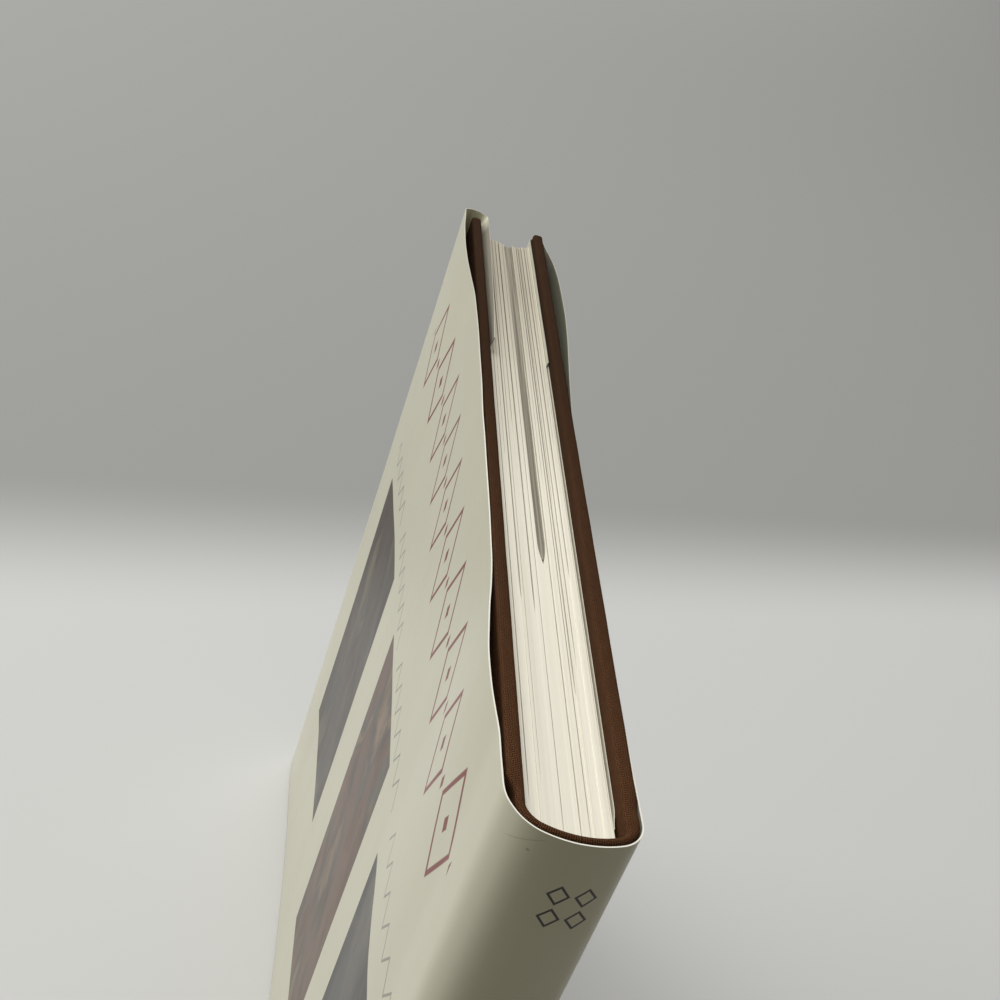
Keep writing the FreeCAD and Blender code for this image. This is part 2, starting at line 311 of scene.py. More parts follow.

# %% [markdown]
# ## The bare side and the cut edge
# Inside, the jacket is uncoated, so it has fibres and no film. Its colour carries painted shade where it stands
# open near the fore-edge and on the flap, and painted light in the fold. Each thin sheet also has a narrow cut
# edge, which catches the light; painted shade darkens it towards the fore-edge.

# %% Inside and cut edge of the jacket
recipe = Recipe("jacket_inside")
across, down, _ = recipe.place()
fibre = recipe.noise(recipe.join(across, down, 0.0), 0.9, 4.0)
tone = recipe.blend(recipe.noise(recipe.join(across, down, 5.0), 0.03, 2.0), (0.50, 0.47, 0.36),
                    (0.60, 0.57, 0.46))
# painted shade: darker where the jacket stands open from the board, towards the fore-edge and the tail
gap_shade = across.step(110.0, 150.0) * across.step(236.0, 222.0) * down.step(45.0, 5.0)
tone = recipe.blend(gap_shade * 0.8, tone, (0.20, 0.20, 0.135))
# painted light: lighter inside the fold near the tail edge, as if light fell into it
tone = recipe.blend(across.step(230.0, 238.0) * across.step(246.0, 242.0) * down.step(40.0, 0.0), tone,
                    (0.82, 0.80, 0.58))
# painted shade: darker on the flap near the tail edge, where it lies in the board's shade
tone = recipe.blend(across.step(246.0, 252.0) * down.step(30.0, 4.0) * 0.9, tone, (0.18, 0.16, 0.12))
jacket_inside_finish = recipe.finish(tone, 0.72, Normal=recipe.bump(fibre, 0.00008))


def cut_edge(name, shade_share, lit_to, tone):
    """The cut edge of the paper: bright near the spine, and darker towards the fore-edge as painted shade."""
    recipe = Recipe(name)
    across, down, _ = recipe.place()
    wear = recipe.noise(recipe.join(across, down, 0.0), 0.5, 3.0)
    bright = recipe.blend(wear, (0.82, 0.80, 0.69), (0.92, 0.91, 0.83))
    # painted shade: the edge darkens towards the fore-edge, where it stands in shade
    toned = recipe.blend(across.step(lit_to, lit_to + 90.0) * shade_share, bright, tone)
    return recipe.finish(toned, 0.65)


# painted shade: both cut edges darken towards the fore-edge, the rear one from near the spine
front_edge_finish = cut_edge("front_cut_edge", 0.9, 100.0, (0.52, 0.50, 0.40))
rear_edge_finish = cut_edge("rear_cut_edge", 0.85, 15.0, (0.34, 0.33, 0.26))
print("jacket inside and edge ready")

# %% [markdown]
# ## Book cloth
# The case is covered in a plain-woven brown cloth. Warp and weft pass over and under each other about every
# 0.4 mm. Real threads would take millions of faces, so the weave is worked out in the material: a checker picks
# which thread is on top, and each thread is a small rounded ridge, for colour and for bump.

# %% Weave of the book cloth
def cloth_finish(name, pitch=0.40):
    recipe = Recipe(name)
    across, down, _ = recipe.place()
    drift = recipe.noise(recipe.join(across, down, 0.0), 0.07, 1.0) * 0.5
    u, v = (across + drift) * (math.pi / pitch), (down - drift) * (math.pi / pitch)
    warp, weft = abs(u.sine()), abs(v.sine())
    over = (((u * 0.5).sine() * (v * 0.5).sine()) * 6.0).step(-0.6, 0.6)
    thread = recipe.node("ShaderNodeMix", {"data_type": "FLOAT"},
                         {0: over, 2: warp * (1 - weft * 0.35), 3: weft * (1 - warp * 0.35)})
    slub = recipe.noise(recipe.join(across * 0.35, down, 2.0), 1.1, 2.0)
    fade = recipe.noise(recipe.join(across, down, 4.0), 0.06, 3.0)
    dark = recipe.blend(fade, (0.020, 0.009, 0.003), (0.033, 0.015, 0.006))
    light = recipe.blend(slub, (0.094, 0.036, 0.014), (0.165, 0.076, 0.036))
    ribbed = thread * 0.55 + warp * 0.45
    colour = recipe.blend((ribbed * 1.15 - 0.12).step(0.22, 0.92), dark, light)
    # painted shade: the cloth darkens towards the fore-edge, where the raised jacket shades the board's rim
    colour = recipe.blend(across.step(240.0, 90.0) * 0.60, colour, (0.016, 0.009, 0.005))
    normal = recipe.bump(thread * 0.8 + slub * 0.2, 0.00014, 1.0)
    return recipe.finish(colour, 0.90 - thread * 0.08, Specular_IOR_Level=0.05, Normal=normal)


book_cloth_finish = cloth_finish("book_cloth_weave")
print("book cloth:", len(book_cloth_finish.node_tree.nodes), "nodes")

# %% [markdown]
# ## Papers and boards
# The leaves are soft cream paper, seen mostly at their cut edges: very fine lines, one for each leaf, run along
# the edge. Noise that is stretched along the leaves draws them. These pieces never bend, so their own
# coordinates serve as the place.

# %% Cut edges of the leaves
def leaf_finish(name):
    recipe = Recipe(name)
    x, y, z = recipe.object_place()
    wander = recipe.noise(recipe.join(x * 0.4, y * 0.012, z * 0.012), 1.0, 2.0) * 0.5
    fine = recipe.noise(recipe.join((x + wander) * 7.0, y * 0.010, z * 0.010), 1.0, 3.0, 0.65)
    broad = recipe.noise(recipe.join((x + wander) * 1.3, y * 0.006, z * 0.006), 1.0, 2.0)
    colour = recipe.blend(fine.step(0.25, 0.60), (0.81, 0.77, 0.64), (0.90, 0.865, 0.745))
    colour = recipe.blend(broad.step(0.58, 0.34) * 0.18, colour, (0.70, 0.65, 0.52))
    # painted shade: the tail edges of the leaves darken towards the fore-edge, where the cover and flap shade them
    colour = recipe.blend(y.step(-25.0, 85.0) * z.step(212.0, 216.0) * 0.82, colour, (0.42, 0.38, 0.29))
    normal = recipe.bump(fine, 0.00005, 0.6)
    return recipe.finish(colour, 0.80, Normal=normal)


leaf_edge_finish = leaf_finish("leaf_edges")
# painted shade: the sunken leaves' edges are coloured dark in place of the shade inside the parting
recipe = Recipe("sunken_leaf_shade")
x, y, z = recipe.object_place()
streak = recipe.noise(recipe.join(x * 3.0, y * 0.02, z * 0.02), 1.0, 3.0)
sunken_shade_tone = recipe.blend(streak.step(0.38, 0.62), (0.17, 0.155, 0.115), (0.36, 0.33, 0.26))
sunken_leaf_shade_finish = recipe.finish(sunken_shade_tone, 0.8, Normal=recipe.bump(streak, 0.00005))
print("leaf edges ready")


# %% Endpapers, grey board, gauze and kraft paper
def plain_paper(name, first, second, scale, roughness, depth):
    recipe = Recipe(name)
    x, y, z = recipe.object_place()
    fibre = recipe.noise(recipe.join(x, y, z), scale, 4.0, 0.6)
    cloudy = recipe.noise(recipe.join(x, y, z), scale * 0.06, 2.0)
    colour = recipe.blend((fibre * 0.6 + cloudy * 0.4).step(0.3, 0.7), first, second)
    return recipe.finish(colour, roughness, Normal=recipe.bump(fibre, depth))


endpaper_finish = plain_paper("endpaper_stock", (0.73, 0.69, 0.57), (0.80, 0.77, 0.66), 1.2, 0.82, 0.00005)
board_finish = plain_paper("grey_board", (0.20, 0.185, 0.16), (0.36, 0.34, 0.30), 2.2, 0.9, 0.00012)
kraft_finish = plain_paper("kraft_paper", (0.24, 0.14, 0.07), (0.34, 0.21, 0.11), 0.8, 0.75, 0.00006)

recipe = Recipe("mull_gauze")
x, y, z = recipe.object_place()
open_weave = abs((x * 3.4 + y * 3.4).sine()).smaller(abs((z * 4.2).sine()))
gauze = recipe.blend(open_weave.step(0.15, 0.5), (0.62, 0.58, 0.47), (0.36, 0.32, 0.24))
mull_finish = recipe.finish(gauze, 0.9, Normal=recipe.bump(1 - open_weave, 0.00015))
print("papers ready")

# %% [markdown]
# ## Sheets from a line
# Paper and cloth are thin sheets that follow a line round the book. One helper rounds the corners of a line,
# one spaces points along it, and one gives a surface its thickness. The place on the flat sheet is stored with
# every point, for the print and the weave.

# %% Lines with rounded corners, and points along them
def arc_line(centre, radius, start, end, count):
    turn = np.linspace(start, end, count)
    return np.stack([centre[0] + radius * np.cos(turn), centre[1] + radius * np.sin(turn)], 1)


def rounded_line(points, radii, count=9):
    """A line through corners, each replaced by an arc that touches both of its runs."""
    points = [np.array(p, float) for p in points]
    made = [points[0]]
    for before, corner, after, radius in zip(points, points[1:], points[2:], radii):
        one, two = before - corner, after - corner
        one, two = one / np.linalg.norm(one), two / np.linalg.norm(two)
        half = 0.5 * math.acos(float(np.clip(one @ two, -1, 1)))
        middle = corner + (one + two) / np.linalg.norm(one + two) * radius / math.sin(half)
        first = corner + one * radius / math.tan(half) - middle
        last = corner + two * radius / math.tan(half) - middle
        begin = math.atan2(first[1], first[0])
        turned = (math.atan2(last[1], last[0]) - begin + math.pi) % (2 * math.pi) - math.pi
        made.extend(arc_line(middle, radius, begin, begin + turned, count))
    made.append(points[-1])
    return np.array(made)


def spaced(line, gaps):
    """Points along a line at steps that a function of the distance gives, and their distances."""
    length = np.concatenate([[0], np.cumsum(np.linalg.norm(np.diff(line, axis=0), axis=1))])
    stops = [0.0]
    while stops[-1] < length[-1]:
        near = np.array([np.interp(stops[-1], length, line[:, i]) for i in (0, 1)])
        stops.append(stops[-1] + gaps(near))
    stops = np.array(stops) * length[-1] / stops[-1]
    return np.stack([np.interp(stops, length, line[:, i]) for i in (0, 1)], 1), stops


print("a square corner becomes", len(rounded_line([(0, 0), (1, 0), (1, 1)], [0.2])), "points")


# %% [markdown]
# ## From points to a piece
# Most pieces here are grids of points, so their faces follow from counting. Numpy works out all the points at
# once. `make_piece` turns them into a mesh with smooth faces and sharp edges, and keeps the place on the flat
# sheet with each point, where the materials find it.

# %% A mesh from a grid of points
def grid_faces(rows, cols, offset=0, flip=False):
    first = np.arange(rows - 1)[:, None] * cols + np.arange(cols - 1)[None, :] + offset
    quads = np.stack([first, first + 1, first + cols + 1, first + cols], -1).reshape(-1, 4)
    return quads[:, ::-1] if flip else quads


def make_piece(name, points, faces, places, finishes, indices=None, sharp=35.0):
    mesh = bpy.data.meshes.new(name)
    mesh.from_pydata(points.reshape(-1, 3).tolist(), [], np.asarray(faces).tolist())
    for finish in finishes:
        mesh.materials.append(finish)
    if indices is not None:
        mesh.polygons.foreach_set("material_index", np.asarray(indices, dtype=np.int32))
    mesh.polygons.foreach_set("use_smooth", [True] * len(mesh.polygons))
    if places is not None:
        stored = mesh.attributes.new("sheet_place", "FLOAT_VECTOR", "POINT")
        stored.data.foreach_set("vector", np.ascontiguousarray(places.reshape(-1), dtype=np.float32))
    mesh.validate()
    mesh.set_sharp_from_angle(angle=math.radians(sharp))
    piece = bpy.data.objects.new(name, mesh)
    bpy.context.scene.collection.objects.link(piece)
    print(name, len(mesh.polygons), "faces")
    return piece


# %% A sheet with a thickness
def thick_sheet(name, middle, thickness, places, finishes):
    """A sheet round a surface of points: outside, inside and cut edge each have a finish."""
    rows, cols = middle.shape[:2]
    normal = np.cross(np.gradient(middle, axis=1), np.gradient(middle, axis=0))
    normal /= np.linalg.norm(normal, axis=2, keepdims=True)
    points = np.stack([middle + normal * thickness / 2, middle - normal * thickness / 2])
    n = rows * cols
    outside, inside = grid_faces(rows, cols), grid_faces(rows, cols, n, flip=True)
    index = np.arange(n).reshape(rows, cols)
    loop = np.concatenate([index[0, :], index[1:, -1], index[-1, -2::-1], index[-2:0:-1, 0]])
    after = np.roll(loop, -1)
    edge = np.stack([after, loop, loop + n, after + n], 1)
    faces = np.concatenate([outside, inside, edge])
    kinds = np.repeat([0, 1, 2], [len(outside), len(inside), len(edge)])
    return make_piece(name, points, faces, np.stack([places, places]), finishes, kinds)


# %% [markdown]
# ## The spine's round
# The back of a sewn book is hammered round, and case and jacket follow it. In plan that is a flat round with a
# tighter arc at each corner. One helper serves the jacket and the case, which lies just inside it. It starts at
# the straight side and ends at the crown, on the book's long axis.

# %% Half of the spine's outline
spine_lean = 0.45 * MM
round_radius = 18.0 * MM
crown = spine_low[1] + 0.35 * MM


def round_half(side, half_width, run_out, end, outside, count=26):
    """From the straight side of the spine to the crown, for the side that faces the rear (1) or front (-1)."""
    radius = round_radius + outside
    centre = np.array([side * spine_lean, crown - outside + radius])
    across, down = half_width - centre[0], run_out - centre[1]
    corner = (across ** 2 + down ** 2 - radius ** 2) / (2 * (across - radius))
    corner_centre = np.array([half_width - corner, run_out])
    angle = math.atan2(*(corner_centre - centre)[::-1])
    line = np.concatenate([[[half_width, end]], arc_line(corner_centre, corner, 0.0, angle, count),
                           arc_line(centre, radius, angle, -math.pi / 2, count)[1:]])
    return line


print("the crown lies %.1f mm behind the shoulder" % ((shoulder - crown) / MM))

# %% [markdown]
# ## The jacket
# Stiff coated paper doesn't lie flat: it springs away from the boards near the spine and at the fold. Each half
# of the jacket is one sheet, from its flap round the fore-edge and over the board to the middle of the spine.
# A cloth simulation would be slow and would never stop at the right wave, so the sheet is drawn. Each pair below
# is a distance from the shoulder and how far the paper stands off there, at the tail edge.

# %% How far the paper stands off each cover
front_spring = np.array([(5.6, 0.0), (8, 0.05), (11, 0.20), (16, 0.48), (23, 1.1), (28, 1.45),
                         (36, 1.65), (44.5, 1.3), (50.6, 0.95), (57, 0.45), (66, 0.08), (85, 0.0), (109, 0.02),
                         (122, 0.18), (136, 0.12), (157, 0.14), (180, 0.6), (195, 1.6), (206, 2.3), (216, 2.6),
                         (228, 2.5), (236, 2.1), (240.8, 1.9)]) * MM
rear_spring = np.array([(5.6, 0.0), (60, 0.0), (125, 0.0), (145, 0.7), (165, 1.9), (180, 2.75), (192, 3.1),
                        (202, 3.1), (211, 3.0), (219, 2.6), (227, 1.75), (234, 0.65), (240.8, 0.0)]) * MM
corner_belly = np.array([(-1.5, 0.0), (2.0, 0.25), (5.0, 0.45), (8.5, 0.42), (18.0, 0.0)]) * MM
print("front paper stands off by up to %.1f mm, rear by %.1f mm" % (front_spring[:, 1].max() / MM,
                                                                    rear_spring[:, 1].max() / MM))


# %% Smooth and wavering lines
def smooth_curve(knots, at):
    """A curve through knots that never overshoots them."""
    x, y = knots[:, 0], knots[:, 1]
    slope = np.diff(y) / np.diff(x)
    tangent = np.zeros_like(y)
    both = slope[:-1] * slope[1:]
    tangent[1:-1] = np.where(both > 0, 2 * both / (slope[:-1] + slope[1:] + 1e-12), 0.0)
    at = np.clip(at, x[0], x[-1])
    i = np.clip(np.searchsorted(x, at) - 1, 0, len(x) - 2)
    h = x[i + 1] - x[i]
    t = (at - x[i]) / h
    return ((1 + 2 * t) * (1 - t) ** 2 * y[i] + t * (1 - t) ** 2 * h * tangent[i]
            + t * t * (3 - 2 * t) * y[i + 1] + t * t * (t - 1) * h * tangent[i + 1])


def waver(u, v, seed):
    """Slow, small unevenness from a few waves of different lengths."""
    return (np.sin(u * 41 + v * 17 + seed) + 0.6 * np.sin(u * 83 - v * 39 + 2.1 * seed)
            + 0.35 * np.sin(u * 23 + v * 97 + 3.7 * seed)) / 1.95


# %% Line of one half of the jacket, seen from the tail
jacket_thick = 0.26 * MM
flap_wide = 81 * MM
flap_face = leaf_half + 0.45 * MM
panel_face = jacket_half - jacket_thick / 2
fold_line = jacket_fore - jacket_thick / 2
jacket_top = case_top - 0.3 * MM


def jacket_line(side, run_out):
    """From the end of the flap round the fold and over the board to the crown, with most points at the bends."""
    line = rounded_line([(flap_face, jacket_fore - flap_wide), (flap_face, fold_line), (panel_face, fold_line),
                         (panel_face, hinge_y)], [1.2 * MM, 1.5 * MM])
    spine_part = round_half(side, panel_face, shoulder + run_out, hinge_y, 0.22 * MM)

    def gap(near):
        if near[1] > fold_line - 4 * MM:
            return 0.28 * MM
        return 0.3 * MM if near[1] < hinge_y + 2 * MM else 2.0 * MM
    return spaced(np.concatenate([line, spine_part[1:]]), gap)


jacket_heights = np.concatenate([np.linspace(0.3 * MM, 30 * MM, 10)[:-1],
                                 np.linspace(30 * MM, jacket_top - 20 * MM, 48)[:-1],
                                 np.linspace(jacket_top - 20 * MM, jacket_top - 4 * MM, 10)[:-1],
                                 np.linspace(jacket_top - 4 * MM, jacket_top, 7)])
print("the jacket's half is %.0f mm of paper" % (jacket_line(-1, 3.5 * MM)[1][-1] / MM))

# %% [markdown]
# ## One sheet, bent and sprung
# The line is repeated at many heights and then pushed about. Near the tail it stands off by the full spring, and
# farther down by less, but at the fold by almost as much. The flap leans away from the board, the fold reaches
# a little past it, and the tail edge rises and falls. Each of these fades out gently, so that the sheet stays
# one smooth surface.

# %% One half of the jacket
def jacket_half_piece(name, side, spring, belly, run_out, drop, flap_drop, flap_lean, fold_reach, finishes):
    line, run = jacket_line(side, run_out)
    x_line, y_line = line[:, 0], line[:, 1]
    y = y_line - shoulder
    z, cols = jacket_heights[:, None], np.ones(len(line))[None, :]
    # 0 on the flap, 1 on the panel, and back to 0 past the hinge
    share = np.clip((x_line - flap_face) / (panel_face - flap_face), 0, 1) * (y_line > hinge_y)
    near_fold = np.clip((y / MM - 205) / 30, 0, 1)
    fade = 0.42 + 0.58 * np.cos(np.clip((jacket_top - z) / jacket_top * 1.6, 0, 1) * math.pi / 2) ** 2
    fade = fade + (1 - fade) * near_fold[None, :] * 0.85
    ease = np.clip((y_line - hinge_y) / (12 * MM), 0, 1)[None, :] ** 2
    ripple = waver(y[None, :] * cols, z * cols, 1.3 + side) * 0.10 * MM * ease * share[None, :]
    out = (smooth_curve(spring, y) * share)[None, :] * fade + np.abs(ripple) + 0.02 * MM
    lean = flap_lean * MM * np.interp(y / MM, [158, 175, 215, 242], [0.25, 0.6, 1.0, 1.0]) * (1 - share)
    lean = lean * (y_line > hinge_y + 100 * MM)
    x = x_line[None, :] + out * share[None, :] - lean[None, :] * np.clip((z - leaf_top) / (3 * MM), 0, 1)
    x = x + (smooth_curve(corner_belly, y) * belly)[None, :] * fade
    # the tail edge, which sinks or rises by another amount on the flap
    on_flap = (np.arange(len(line)) < np.argmax(y_line)) * np.clip(2 * (1 - share), 0, 1)
    edge_drop = drop(y / MM) * MM * (1 - on_flap) + flap_drop * MM * on_flap
    edge_drop = edge_drop + 0.06 * MM * waver(y * 3, y * 0, 2.0 + side)
    near_tail = np.clip((z - (jacket_top - 30 * MM)) / (30 * MM), 0, 1) ** 1.5
    tip = np.clip((y_line - fold_line + 9 * MM) / (9 * MM), 0, 1)[None, :] ** 2
    reach = fold_reach * MM * tip * near_tail * (0.15 + 0.85 * share[None, :])
    middle = np.stack([side * x, y_line[None, :] + reach, z - edge_drop[None, :] * near_tail], -1)
    # the place on the flat sheet: from the shoulder, down from the tail, and from the crown
    at_hinge = np.argmax((x_line > panel_face - 0.02 * MM) & (y_line < hinge_y + 0.5 * MM))
    across = run[at_hinge] - run + y_line[at_hinge] - shoulder
    from_crown = side * (run[-1] - run)
    places = np.stack([across[None, :] + 0 * z, (case_top - z) * cols, from_crown[None, :] + 0 * z], -1)
    if side > 0:
        middle, places = middle[:, ::-1], places[:, ::-1]
    return thick_sheet(name, middle, jacket_thick, places, finishes)


def front_drop(y):
    return np.interp(y, [-6, 0, 6, 20, 60, 110, 150, 200, 240],
                     [0.05, 0.05, 0.1, 0.15, 0.05, -0.2, -0.6, -1.0, -1.2])


def rear_drop(y):
    return np.interp(y, [-6, 0, 6, 14, 30, 60, 120, 150, 240], [0.05, 0.1, 0.3, 0.7, 1.0, 1.0, 0.9, 0.7, 1.0])


front_jacket = jacket_half_piece(
    "front_jacket_sheet", -1, front_spring, belly=1.0, run_out=3.5 * MM, drop=front_drop, flap_drop=-0.9,
    flap_lean=1.5, fold_reach=2.3, finishes=[jacket_front_finish, jacket_inside_finish, front_edge_finish])
rear_jacket = jacket_half_piece(
    "rear_jacket_sheet", 1, rear_spring, belly=0.0, run_out=1.4 * MM, drop=rear_drop, flap_drop=2.0,
    flap_lean=0.0, fold_reach=0.0, finishes=[jacket_rear_finish, jacket_inside_finish, rear_edge_finish])

# %% [markdown]
# ## Hiding the imported jacket
# Each half is dressed over two imported pieces: the spine, which stays, and the panel, which turns with the cover.
# Both are hidden, and the sheet's points are baked where they stand.

# %% Hide the imported jacket pieces
for piece, side, cover in ((front_jacket, -1, "front"), (rear_jacket, 1, "rear")):
    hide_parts(cover + "_jacket", "jacket_spine")
    cover + "_cover"
    side * hinge_x
    hinge_y - 2.0 * MM
    side * hinge_x
    hinge_y + 0.2 * MM
    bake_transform(piece)
print("both jacket halves bend at x = %.1f mm, y = %.1f mm" % (hinge_x / MM, hinge_y / MM))

# %% [markdown]
# ## The case in its cloth
# The cloth goes over the boards and the spine card and is folded over their ends. Each half is built as a rim:
# at every place along the case there is an outside point and an inside point. The cloth runs up the outside,
# over the end in a soft round and 15 mm down the inside. Between board and spine it dips into the groove. A
# loft of plain sections would miss the turned-in ends, which are what one sees of a case.

# %% Plan of one half of the case
cloth_thick = 0.3 * MM
turn_in = 15 * MM
edge_round = 0.8 * MM
board_thick = case_half - turn_in_face
card_thick = 1.6 * MM
groove_spine_side = shoulder + 1.9 * MM
groove_board_side = case_near + 0.9 * MM


def case_plan(side):
    """Outside and inside lines of the case from fore-edge to crown, and how far its corner drops at each end."""
    middle = (case_half + turn_in_face) / 2
    flat = board_thick / 2 - edge_round
    rows = [(middle + part, case_fore, middle - part, case_fore, edge_round) for part in (0, flat / 2)]
    for turn in np.linspace(math.pi / 2, 0, 7):
        reach = flat + edge_round * math.cos(turn)
        y = case_fore - edge_round + edge_round * math.sin(turn)
        rows.append((middle + reach, y, middle - reach, y, edge_round * (1 - math.cos(turn))))
    stops = np.concatenate([np.linspace(case_fore - 2 * MM, case_fore - turn_in, 6),
                            [case_fore - turn_in - 0.02 * MM],
                            np.linspace(case_fore - turn_in - 4 * MM, case_near + 6 * MM, 52),
                            np.linspace(case_near + 5 * MM, groove_board_side, 6)])
    rows.extend((case_half, y, turn_in_face, y, 0.0) for y in stops)
    side_half = case_half - 0.65 * MM + side * spine_lean
    for share in np.linspace(0.06, 0.94, 13):
        y = groove_board_side + (groove_spine_side - groove_board_side) * share
        soft = share * share * (3 - 2 * share)
        rows.append((case_half + (side_half - case_half) * soft, y, turn_in_face, y, 0.0))
    whole = round_half(side, side_half, shoulder + 1.4 * MM, groove_spine_side, 0.0, 16)
    step = np.gradient(whole, axis=0)
    normal = np.stack([-step[:, 1], step[:, 0]], 1) / np.linalg.norm(step, axis=1)[:, None]
    hollow = whole - normal * card_thick
    hollow[:, 0] = np.minimum(hollow[:, 0], turn_in_face)
    rows.extend((*point, *within, 0.0) for point, within in zip(whole, hollow))
    rows = np.array(rows)
    return rows[:, :2], rows[:, 2:4], rows[:, 4]


print("boards are %.1f mm with their cloth" % (board_thick / MM))

# %% The groove between board and spine
def groove_depth(y, z):
    """How far the cloth dips into the groove: shallow at the folded ends, deep along the middle."""
    along = np.clip((y - groove_spine_side) / (groove_board_side - groove_spine_side), 0, 1)
    hump = np.sin(along * math.pi) ** 1.3
    from_end = np.minimum(z, case_top - z)
    deep = 0.25 * MM + 2.0 * MM * np.clip((from_end - 2 * MM) / (14 * MM), 0, 1)
    return hump * deep


groove_middle = (groove_spine_side + groove_board_side) / 2
print("the groove is up to %.2f mm deep" % (groove_depth(groove_middle, case_top / 2) / MM))

# %% [markdown]
# ## The cloth as a grid
# Each row of the grid runs along the case, and the rows go from the raw edge of one turn-in, over the rim, up
# the outside and over the other rim to the other raw edge. The cloth is lumpy by a few hundredths of a
# millimetre, as cloth over board is. The length along and across the cloth is kept for the weave.

# %% Cloth over one half of the case
def case_cloth(name, side):
    outer, inner, drop = case_plan(side)
    cols = len(outer)
    run = np.concatenate([[0], np.cumsum(np.linalg.norm(np.diff(outer, axis=0), axis=1))])
    deep_turn = np.where(outer[:, 1] > case_fore - turn_in - 0.01 * MM, case_top / 2 - 1 * MM, turn_in)
    thick = np.linalg.norm(outer - inner, axis=1)
    radius = np.minimum(edge_round, thick / 2 * 0.98)
    rows = []

    def add(share, z):
        point = outer + (inner - outer) * share[:, None]
        x = point[:, 0] - groove_depth(point[:, 1], z) * (1 - share)
        rows.append(np.stack([side * x, point[:, 1], z * np.ones(cols)], 1))

    # each end, from the raw edge of the turn-in up the inside, over the rim and onto the outside
    sunk = np.clip((thick - cloth_thick) / np.maximum(thick, 1e-6), 0, 1)
    ends = []
    for sign, z_end in ((-1, drop), (1, case_top - drop)):
        parts = [(sunk, z_end - sign * deep_turn), (np.ones(cols), z_end - sign * deep_turn)]
        for depth in (10, 6, 3, 1.6):
            parts.append((np.ones(cols), z_end - sign * np.minimum(deep_turn - 1 * MM, depth * MM)))
        for turn in np.linspace(0, math.pi / 2, 6):
            share = 1 - radius * (1 - math.cos(turn)) / np.maximum(thick, 1e-6)
            parts.append((share, z_end - sign * radius * (1 - math.sin(turn))))
        for turn in np.linspace(math.pi / 2, 0, 6):
            share = radius * (1 - math.cos(turn)) / np.maximum(thick, 1e-6)
            parts.append((share, z_end - sign * radius * (1 - math.sin(turn))))
        ends.append(parts)
    for share, z in ends[0]:
        add(share, z)
    for z in np.concatenate([np.linspace(2, 24, 9), np.linspace(30, case_top / MM - 30, 24),
                             np.linspace(case_top / MM - 24, case_top / MM - 2, 9)]) * MM:
        add(np.zeros(cols), z * np.ones(cols))
    for share, z in reversed(ends[1]):
        add(share, z)
    # the flat place of each point, and the lumps, which leave the hinge alone
    points = np.array(rows)
    along = np.cumsum(np.linalg.norm(np.diff(points, axis=0, prepend=points[:1]), axis=2), axis=0)
    along -= along[-len(ends[1])]
    marks = np.stack([run[None, :] * np.ones_like(along), along, 0 * along], -1)
    lump = waver(points[:, :, 1] * 5 + points[:, :, 0] * 9, points[:, :, 2] * 4, 0.7 + side)
    points[:, :, 0] += side * lump * 0.035 * MM * (np.abs(points[:, :, 1] - hinge_y) > 4 * MM)
    faces = grid_faces(len(rows), cols, flip=side < 0)
    return make_piece(name, points, faces, marks, [book_cloth_finish], sharp=60.0)


for side, cover in ((-1, "front"), (1, "rear")):
    piece = case_cloth(cover + "_case_cloth", side)
    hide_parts(cover + "_cloth", "spine_cloth")
    cover + "_cover"
    side * hinge_x
    side * hinge_x
    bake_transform(piece)

# %% [markdown]
# ## Endpapers
# A pastedown is glued to the inside of each board, and the same sheet goes on across the joint to the leaves.
# The edge of the turned-in cloth shows through it as a soft step, which is modelled and not painted, so that it
# also shows from the side. On the real book the strip at the joint bends when the cover opens.

# %% Pastedown and its strip at the joint
def pastedown_piece(name, side):
    face = turn_in_face - 0.075 * MM
    leaf_side = 7.52 * MM
    edge, strip_end = case_fore - square, shoulder + 2.2 * MM
    y = np.concatenate([np.linspace(strip_end, case_near + 1.2 * MM, 16),
                        np.linspace(case_near + 2 * MM, case_fore - turn_in - 1 * MM, 70),
                        np.linspace(case_fore - turn_in - 0.8 * MM, edge, 22)])
    z = np.concatenate([np.linspace(square, turn_in + 1 * MM, 14)[:-1],
                        np.linspace(turn_in + 1 * MM, case_top - turn_in - 1 * MM, 40)[:-1],
                        np.linspace(case_top - turn_in - 1 * MM, leaf_top, 14)])
    y, z = np.meshgrid(y, z)
    well = (np.clip((z - turn_in) / (0.7 * MM), 0, 1) * np.clip((case_top - turn_in - z) / (0.7 * MM), 0, 1)
            * np.clip((case_fore - turn_in - y) / (0.7 * MM), 0, 1)
            * np.clip((y - case_near - 0.3 * MM) / (0.8 * MM), 0, 1))
    well = well * well * (3 - 2 * well)
    lift = np.clip((y - strip_end) / (case_near + 1.0 * MM - strip_end), 0, 1)
    lift = lift * lift * (3 - 2 * lift)
    x = leaf_side + (face - leaf_side) * lift + 0.27 * MM * well
    middle = np.stack([side * x, y, z], -1)
    places = np.stack([y, z, 0 * z], -1)
    if side > 0:
        middle, places = middle[:, ::-1], places[:, ::-1]
    return thick_sheet(name, middle[:, ::-1], 0.12 * MM, places[:, ::-1], [endpaper_finish] * 3)


for side, cover in ((-1, "front"), (1, "rear")):
    piece = pastedown_piece(cover + "_pastedown_sheet", side)
    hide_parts(cover + "_pastedown")
    cover + "_cover"
    side * hinge_x
    side * hinge_x
    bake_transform(piece)

# %% [markdown]
# ## The leaves
# A leaf each would be too many thin pieces, so the leaves are gathered in groups, as they hang together in a
# book that has been read. Where two groups have parted, the gap is widest at the fore-edge and closes to a
# point. Each parting has its place across the thickness, its width and how near to the shoulder it reaches, all
# in millimetres. The widest one holds a few leaves that lie a little lower; their edges are coloured dark as
# painted shade in the parting.

